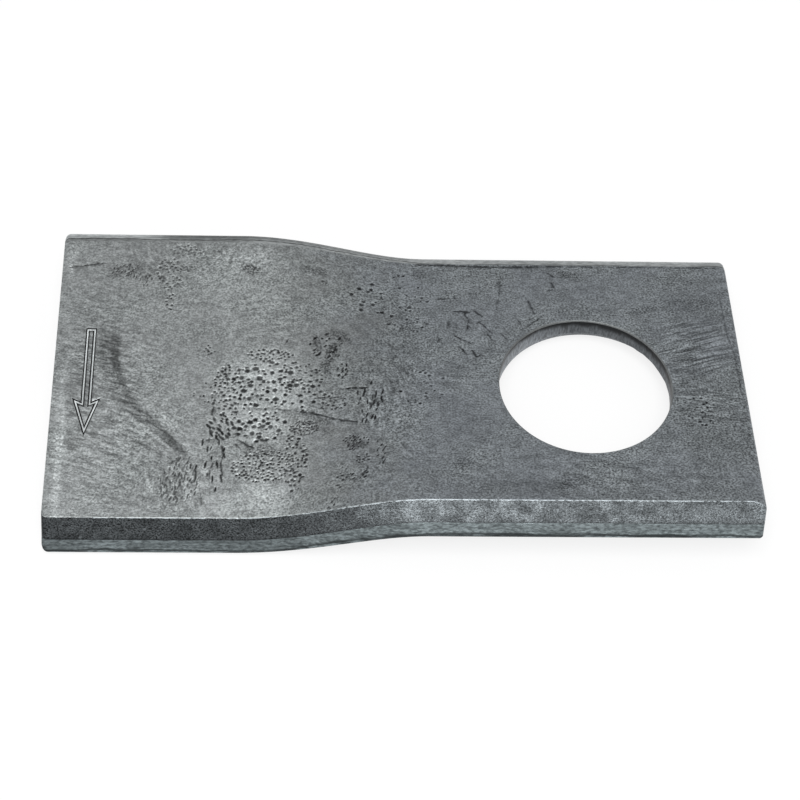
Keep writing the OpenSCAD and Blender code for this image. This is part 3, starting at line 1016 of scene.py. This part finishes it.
# the underside
under = {
    "metallic": 0.85,
    "grain": {"Size": 0.4, "Stretch": 1.6, "Mottle Size": 6.0},
    "tone": (0.17, 0.25),
    "tint": "cool",
    "rough": (0.52, 0.44),
    "relief": 0.014,
    "grainBy": 0.6,
    "specks": {"dots": {"Spacing": 1.1, "Share": 0.3, "Radius": 0.32}, "share": 0.6, "tone": 0.05},
    "ridgeTone": 0.36,
}


def underFinish():
    finish, tree, place, grain = startFinish("underFace", under)
    tone = lerp(tree, grain["Mottle"], *under["tone"])
    tone = varied(tree, tone, grain["Grain"], under["grainBy"])
    tone = speckled(tree, tone, place, under["specks"])
    # wear and a painted highlight along the ridge
    tone = lerp(tree, ridgeWearAndHighlight(tree, place, axis(tree, place, "X")), tone, under["ridgeTone"])
    return endPlain(finish, under, tone, grain)


# the bevel: ground and scaled again in hardening; painted shade darkens it towards the cutting end
ground = {
    "metallic": 0.9,
    "grain": {"Size": 0.19, "Stretch": 1.3, "Mottle Size": 1.8},
    "tone": (0.09, 0.17),
    "toneAlong": (-57.0, -19.0, 0.42, 0.70),
    "grainAlong": (-57.0, -19.0, 1.95, 1.45),
    "endTone": (22.3, 22.9, 1.0, 2.4),
    "tint": "ground",
    "rough": (0.50, 0.40),
    "relief": 0.014,
    "glints": {"dots": {"Spacing": 0.8, "Share": 0.10, "Radius": 0.28}, "share": 0.3, "tone": 0.3},
    "line": (facetZ + 0.03, facetZ + 0.2, 0.45, 0.0),
    "lineTone": 0.02,
    "ridgeTone": (-50.0, -20.0, 0.27, 0.33),
}


def bevelFinish():
    finish, tree, place, grain = startFinish("groundBevel", ground)
    along = axis(tree, place, "X")
    tone = lerp(tree, grain["Mottle"], *ground["tone"])
    # painted shade: darker towards the cutting end, where the twist turns the bevel
    tone = times(tree, tone, span(tree, along, *ground["toneAlong"]))
    tone = varied(tree, tone, grain["Grain"], span(tree, along, *ground["grainAlong"]))
    # painted highlight: paler at the corner of the mounting end
    tone = times(tree, tone, span(tree, along, *ground["endTone"]))
    tone = speckled(tree, tone, place, ground["glints"])
    # a dark line where the bevel meets the blunt edge
    height = sums(tree, "ABSOLUTE", attribute(tree, "level"))
    tone = lerp(tree, span(tree, height, *ground["line"]), tone, ground["lineTone"])
    # wear and a painted highlight along the ridge
    tone = lerp(tree, ridgeWearAndHighlight(tree, place, along), tone, span(tree, along, *ground["ridgeTone"]))
    return endPlain(finish, ground, tone, grain)


# the blunt edge, with long dark lines near the rolled corner and one just before it
blunt = {
    "metallic": 0.85,
    "grain": {"Size": 0.28, "Stretch": 2.5, "Mottle Size": 2.5},
    "streaks": {"Size": 0.35, "Stretch": 16.0, "Mottle Size": 1.0},
    "tone": (0.152, 0.214),
    "toneAlong": (-52.0, -20.0, 1.0, 1.19),
    "tint": "blunt",
    "rough": (0.5, 0.4),
    "relief": 0.014,
    "grainBy": 1.05,
    "streaksBy": 0.45,
    "lines": {"Turn": 0.02, "Spacing": 0.55, "Stretch": 14.0},
    "linesShown": (0.55, 0.9),
    "linesUp": (0.5, 1.3, 0.2, 0.8),
    "linesTone": 0.04,
    "lastAt": topZ - bar["roundDepth"] - 0.22,
    "lastSway": 0.3,
    "last": (0.05, 0.2, 0.75, 0.0),
    "lastTone": 0.03,
}


def bluntFinish():
    finish, tree, place, grain = startFinish("bluntEdge", blunt)
    streaks = fromGroup(tree, grainGroup, place, blunt["streaks"])
    tone = lerp(tree, grain["Mottle"], *blunt["tone"])
    tone = times(tree, tone, span(tree, axis(tree, place, "X"), *blunt["toneAlong"]))
    tone = varied(tree, tone, grain["Grain"], blunt["grainBy"])
    tone = varied(tree, tone, streaks["Grain"], blunt["streaksBy"])
    lines = fromGroup(tree, ripplesGroup, place, blunt["lines"])["Ripple"]
    height = sums(tree, "ABSOLUTE", attribute(tree, "level"))
    lines = span(tree, lines, *blunt["linesShown"])
    lines = times(tree, lines, span(tree, height, *blunt["linesUp"]))
    tone = lerp(tree, lines, tone, blunt["linesTone"])
    last = swayed(tree, height, grain["Mottle"], blunt["lastSway"])
    last = sums(tree, "ABSOLUTE", sums(tree, "SUBTRACT", last, blunt["lastAt"]))
    tone = lerp(tree, span(tree, last, *blunt["last"]), tone, blunt["lastTone"])
    return endPlain(finish, blunt, tone, grain)


# the sheared ends, with the marks of the tool drawn out through the thickness
sheared = {
    "metallic": 0.85,
    "grain": {"Size": 0.3, "Stretch": 1.0, "Mottle Size": 1.2},
    "drawnOut": 6.0,
    "tone": (0.16, 0.26),
    "tint": "cool",
    "rough": (0.55, 0.42),
    "relief": 0.02,
    "grainBy": 0.5,
}


def shearedFinish():
    finish, tree, place, grain = startFinish("shearedEnd", sheared)
    tone = lerp(tree, grain["Mottle"], *sheared["tone"])
    tone = varied(tree, tone, grain["Grain"], sheared["grainBy"])
    return endPlain(finish, sheared, tone, grain)


# the wall of the hole: painted shadow darkens it under the rim where the punch slid in, paler where the
# steel tore
punched = {
    "metallic": 0.85,
    "grain": {"Size": 0.3, "Stretch": 1.0, "Mottle Size": 1.5},
    "drawnOut": 4.0,
    "tint": "cool",
    "rough": (0.55, 0.42),
    "relief": 0.02,
    "sway": 0.5,
    "toneUp": (-1.0, 0.8, 0.135, 0.1),
    "toneAlong": (-9.0, 1.0, 2.0, 1.0),
    "grainBy": 1.0,
    "shadowAlong": (-10.0, 2.0, -0.35, 0.0),
    "shadowUp": (0.3, 1.35),
    "shadowTone": 0.014,
}


def punchedFinish():
    finish, tree, place, grain = startFinish("punchedWall", punched)
    along = axis(tree, place, "X")
    height = swayed(tree, axis(tree, place, "Z"), grain["Mottle"], punched["sway"])
    # painted shade and light: darker towards the top of the wall, and paler on its left side
    tone = times(tree, span(tree, height, *punched["toneUp"]), span(tree, along, *punched["toneAlong"]))
    tone = varied(tree, tone, grain["Grain"], punched["grainBy"])
    # painted shadow: a dark band under the rim
    rimShadow = sums(tree, "ADD", height, span(tree, along, *punched["shadowAlong"]))
    tone = lerp(tree, span(tree, rimShadow, *punched["shadowUp"]), tone, punched["shadowTone"])
    return endPlain(finish, punched, tone, grain)


# steel that a tool has pressed: the rim of the hole, the floor of the arrow, and its wall in painted shade
pressed = {
    "metallic": 0.8,
    "grain": {"Size": 0.25, "Stretch": 1.0, "Mottle Size": 1.5},
    "rough": (0.6, 0.45),
    "relief": 0.01,
    "punchedRim": (0.15, 0.20),
    # painted shade: the arrow's sloping walls are nearly black
    "stampedWallShade": (0.008, 0.016),
    "stampedFloor": (0.48, 0.60),
}


def pressedFinish(name):
    finish, tree, place, grain = startFinish(name, pressed)
    tone = lerp(tree, grain["Mottle"], *pressed[name])
    roughness = span(tree, grain["Grain"], 0.0, 1.0, *pressed["rough"])
    return endFinish(finish, pressed, tone, tints["plain"], roughness, grain["Grain"])


finishes = [rolledFinish(), cornerFinish(), underFinish(), bevelFinish(), bluntFinish(), shearedFinish(),
            pressedFinish("punchedRim"), punchedFinish(), pressedFinish("stampedWallShade"),
            pressedFinish("stampedFloor")]
print("finishes ready:", [finish.name for finish in finishes])

pitList = scatterPits()
blade = asObject(shapeBlade(pitList), "blade_body", finishes)
holeCutter = asObject(shapeHole(), "hole_cutter", finishes)
arrowCutter = asObject(shapeArrow(), "arrow_cutter", finishes)
cutAway(blade, [holeCutter, arrowCutter])
blade.data.shade_smooth()
blade.data.set_sharp_from_angle(angle=math.radians(bar["sharpFrom"]))
blade.data.calc_loop_triangles()
print("blade ready:", len(pitList), "pits,", len(blade.data.loop_triangles), "triangles")

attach(blade, "root")
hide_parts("blade")

# floor at the slope on which the twisted blade comes to rest
stand = {
    "size": 6000.0,
    "nearTouch": (-22.6, -7.35),
    "farTouch": (21.6, -2.0),
    "pale": 0.82,
    "whiteShare": 0.8,
}


def layFloor():
    bm = bmesh.new()
    (nearY, nearZ), (farY, farZ) = stand["nearTouch"], stand["farTouch"]
    bmesh.ops.create_grid(bm, x_segments=1, y_segments=1, size=stand["size"] / 2)
    slope = math.atan2(farZ - nearZ, farY - nearY)
    tilt = Matrix.Translation((0, nearY, nearZ)) @ Matrix.Rotation(slope, 4, "X")
    bmesh.ops.transform(bm, matrix=tilt, verts=bm.verts[:])
    finish = bpy.data.materials.new("paleFloor")
    finish.use_nodes = True
    tree = finish.node_tree
    tree.nodes.remove(tree.nodes["Principled BSDF"])
    matt = put(tree, "ShaderNodeBsdfDiffuse", {"Color": (stand["pale"], stand["pale"], stand["pale"], 1)})
    white = put(tree, "ShaderNodeEmission", {"Color": (1, 1, 1, 1), "Strength": 1.0})
    path = put(tree, "ShaderNodeLightPath").outputs
    mirrored = sums(tree, "MAXIMUM", path["Is Glossy Ray"], path["Is Transmission Ray"])
    seen = sums(tree, "MAXIMUM", path["Is Camera Ray"], mirrored)
    share = times(tree, seen, stand["whiteShare"])
    mixed = put(tree, "ShaderNodeMixShader", {0: share, 1: matt.outputs[0], 2: white.outputs[0]})
    tree.links.new(mixed.outputs[0], tree.nodes["Material Output"].inputs["Surface"])
    return asObject(bm, "floor", [finish])


layFloor()

# soft light: a pale room and one large lamp overhead, a little to the front
light = {
    "horizon": 0.75,
    "zenith": 0.55,
    "zenithFrom": 0.9,
    "lampAt": (-60.0, -300.0, 620.0),
    "lampSize": 420.0,
    "lampPower": 4.2,
}


def setLights():
    world = bpy.data.worlds.new("paleRoom")
    scene.world = world
    world.use_nodes = True
    tree = world.node_tree
    upward = axis(tree, put(tree, "ShaderNodeTexCoord").outputs["Generated"], "Z")
    glow = span(tree, upward, 0.0, light["zenithFrom"], light["horizon"], light["zenith"])
    backdrop = tree.nodes["Background"]
    tree.links.new(glow, backdrop.inputs["Color"])
    backdrop.inputs["Strength"].default_value = 1.0
    data = bpy.data.lights.new("overheadLamp", "AREA")
    data.size = light["lampSize"] * mm
    data.energy = light["lampPower"]
    lamp = bpy.data.objects.new("overheadLamp", data)
    lamp.location = Vector(light["lampAt"]) * mm
    lamp.rotation_euler = (-Vector(light["lampAt"])).to_track_quat("-Z", "Y").to_euler()
    scene.collection.objects.link(lamp)


setLights()

# camera at the photograph's angle, aimed so that the hole's middle falls on its pixel
view = {
    "azimuth": -3.13,
    "elevation": 50.0,
    "roll": 2.884,
    "distance": 261.72,
    "lens": 80.98,
    "sensor": 36.0,
    "imageSize": 800,
    "holePixel": (584.26, 393.47),
    "clip": (10.0, 10000.0),
}


def setCamera():
    azimuth, elevation = math.radians(view["azimuth"]), math.radians(view["elevation"])
    level = math.cos(elevation)
    back = Vector((math.sin(azimuth) * level, -math.cos(azimuth) * level, math.sin(elevation)))
    roll = Matrix.Rotation(math.radians(view["roll"]), 3, back)
    right = roll @ Vector((math.cos(azimuth), math.sin(azimuth), 0))
    up = back.cross(right)
    perPixel = view["distance"] * view["sensor"] / (view["lens"] * view["imageSize"])
    acrossBy = (view["holePixel"][0] - view["imageSize"] / 2) * perPixel
    downBy = (view["holePixel"][1] - view["imageSize"] / 2) * perPixel
    place = back * view["distance"] - right * acrossBy + up * downBy
    data = bpy.data.cameras.new("photoCamera")
    data.lens, data.sensor_width = view["lens"], view["sensor"]
    data.clip_start, data.clip_end = (clip * mm for clip in view["clip"])
    camera = bpy.data.objects.new("photoCamera", data)
    camera.matrix_world = Matrix.Translation(place * mm) @ Matrix((right, up, back)).transposed().to_4x4()
    scene.collection.objects.link(camera)
    scene.camera = camera


setCamera()
print("stage ready")
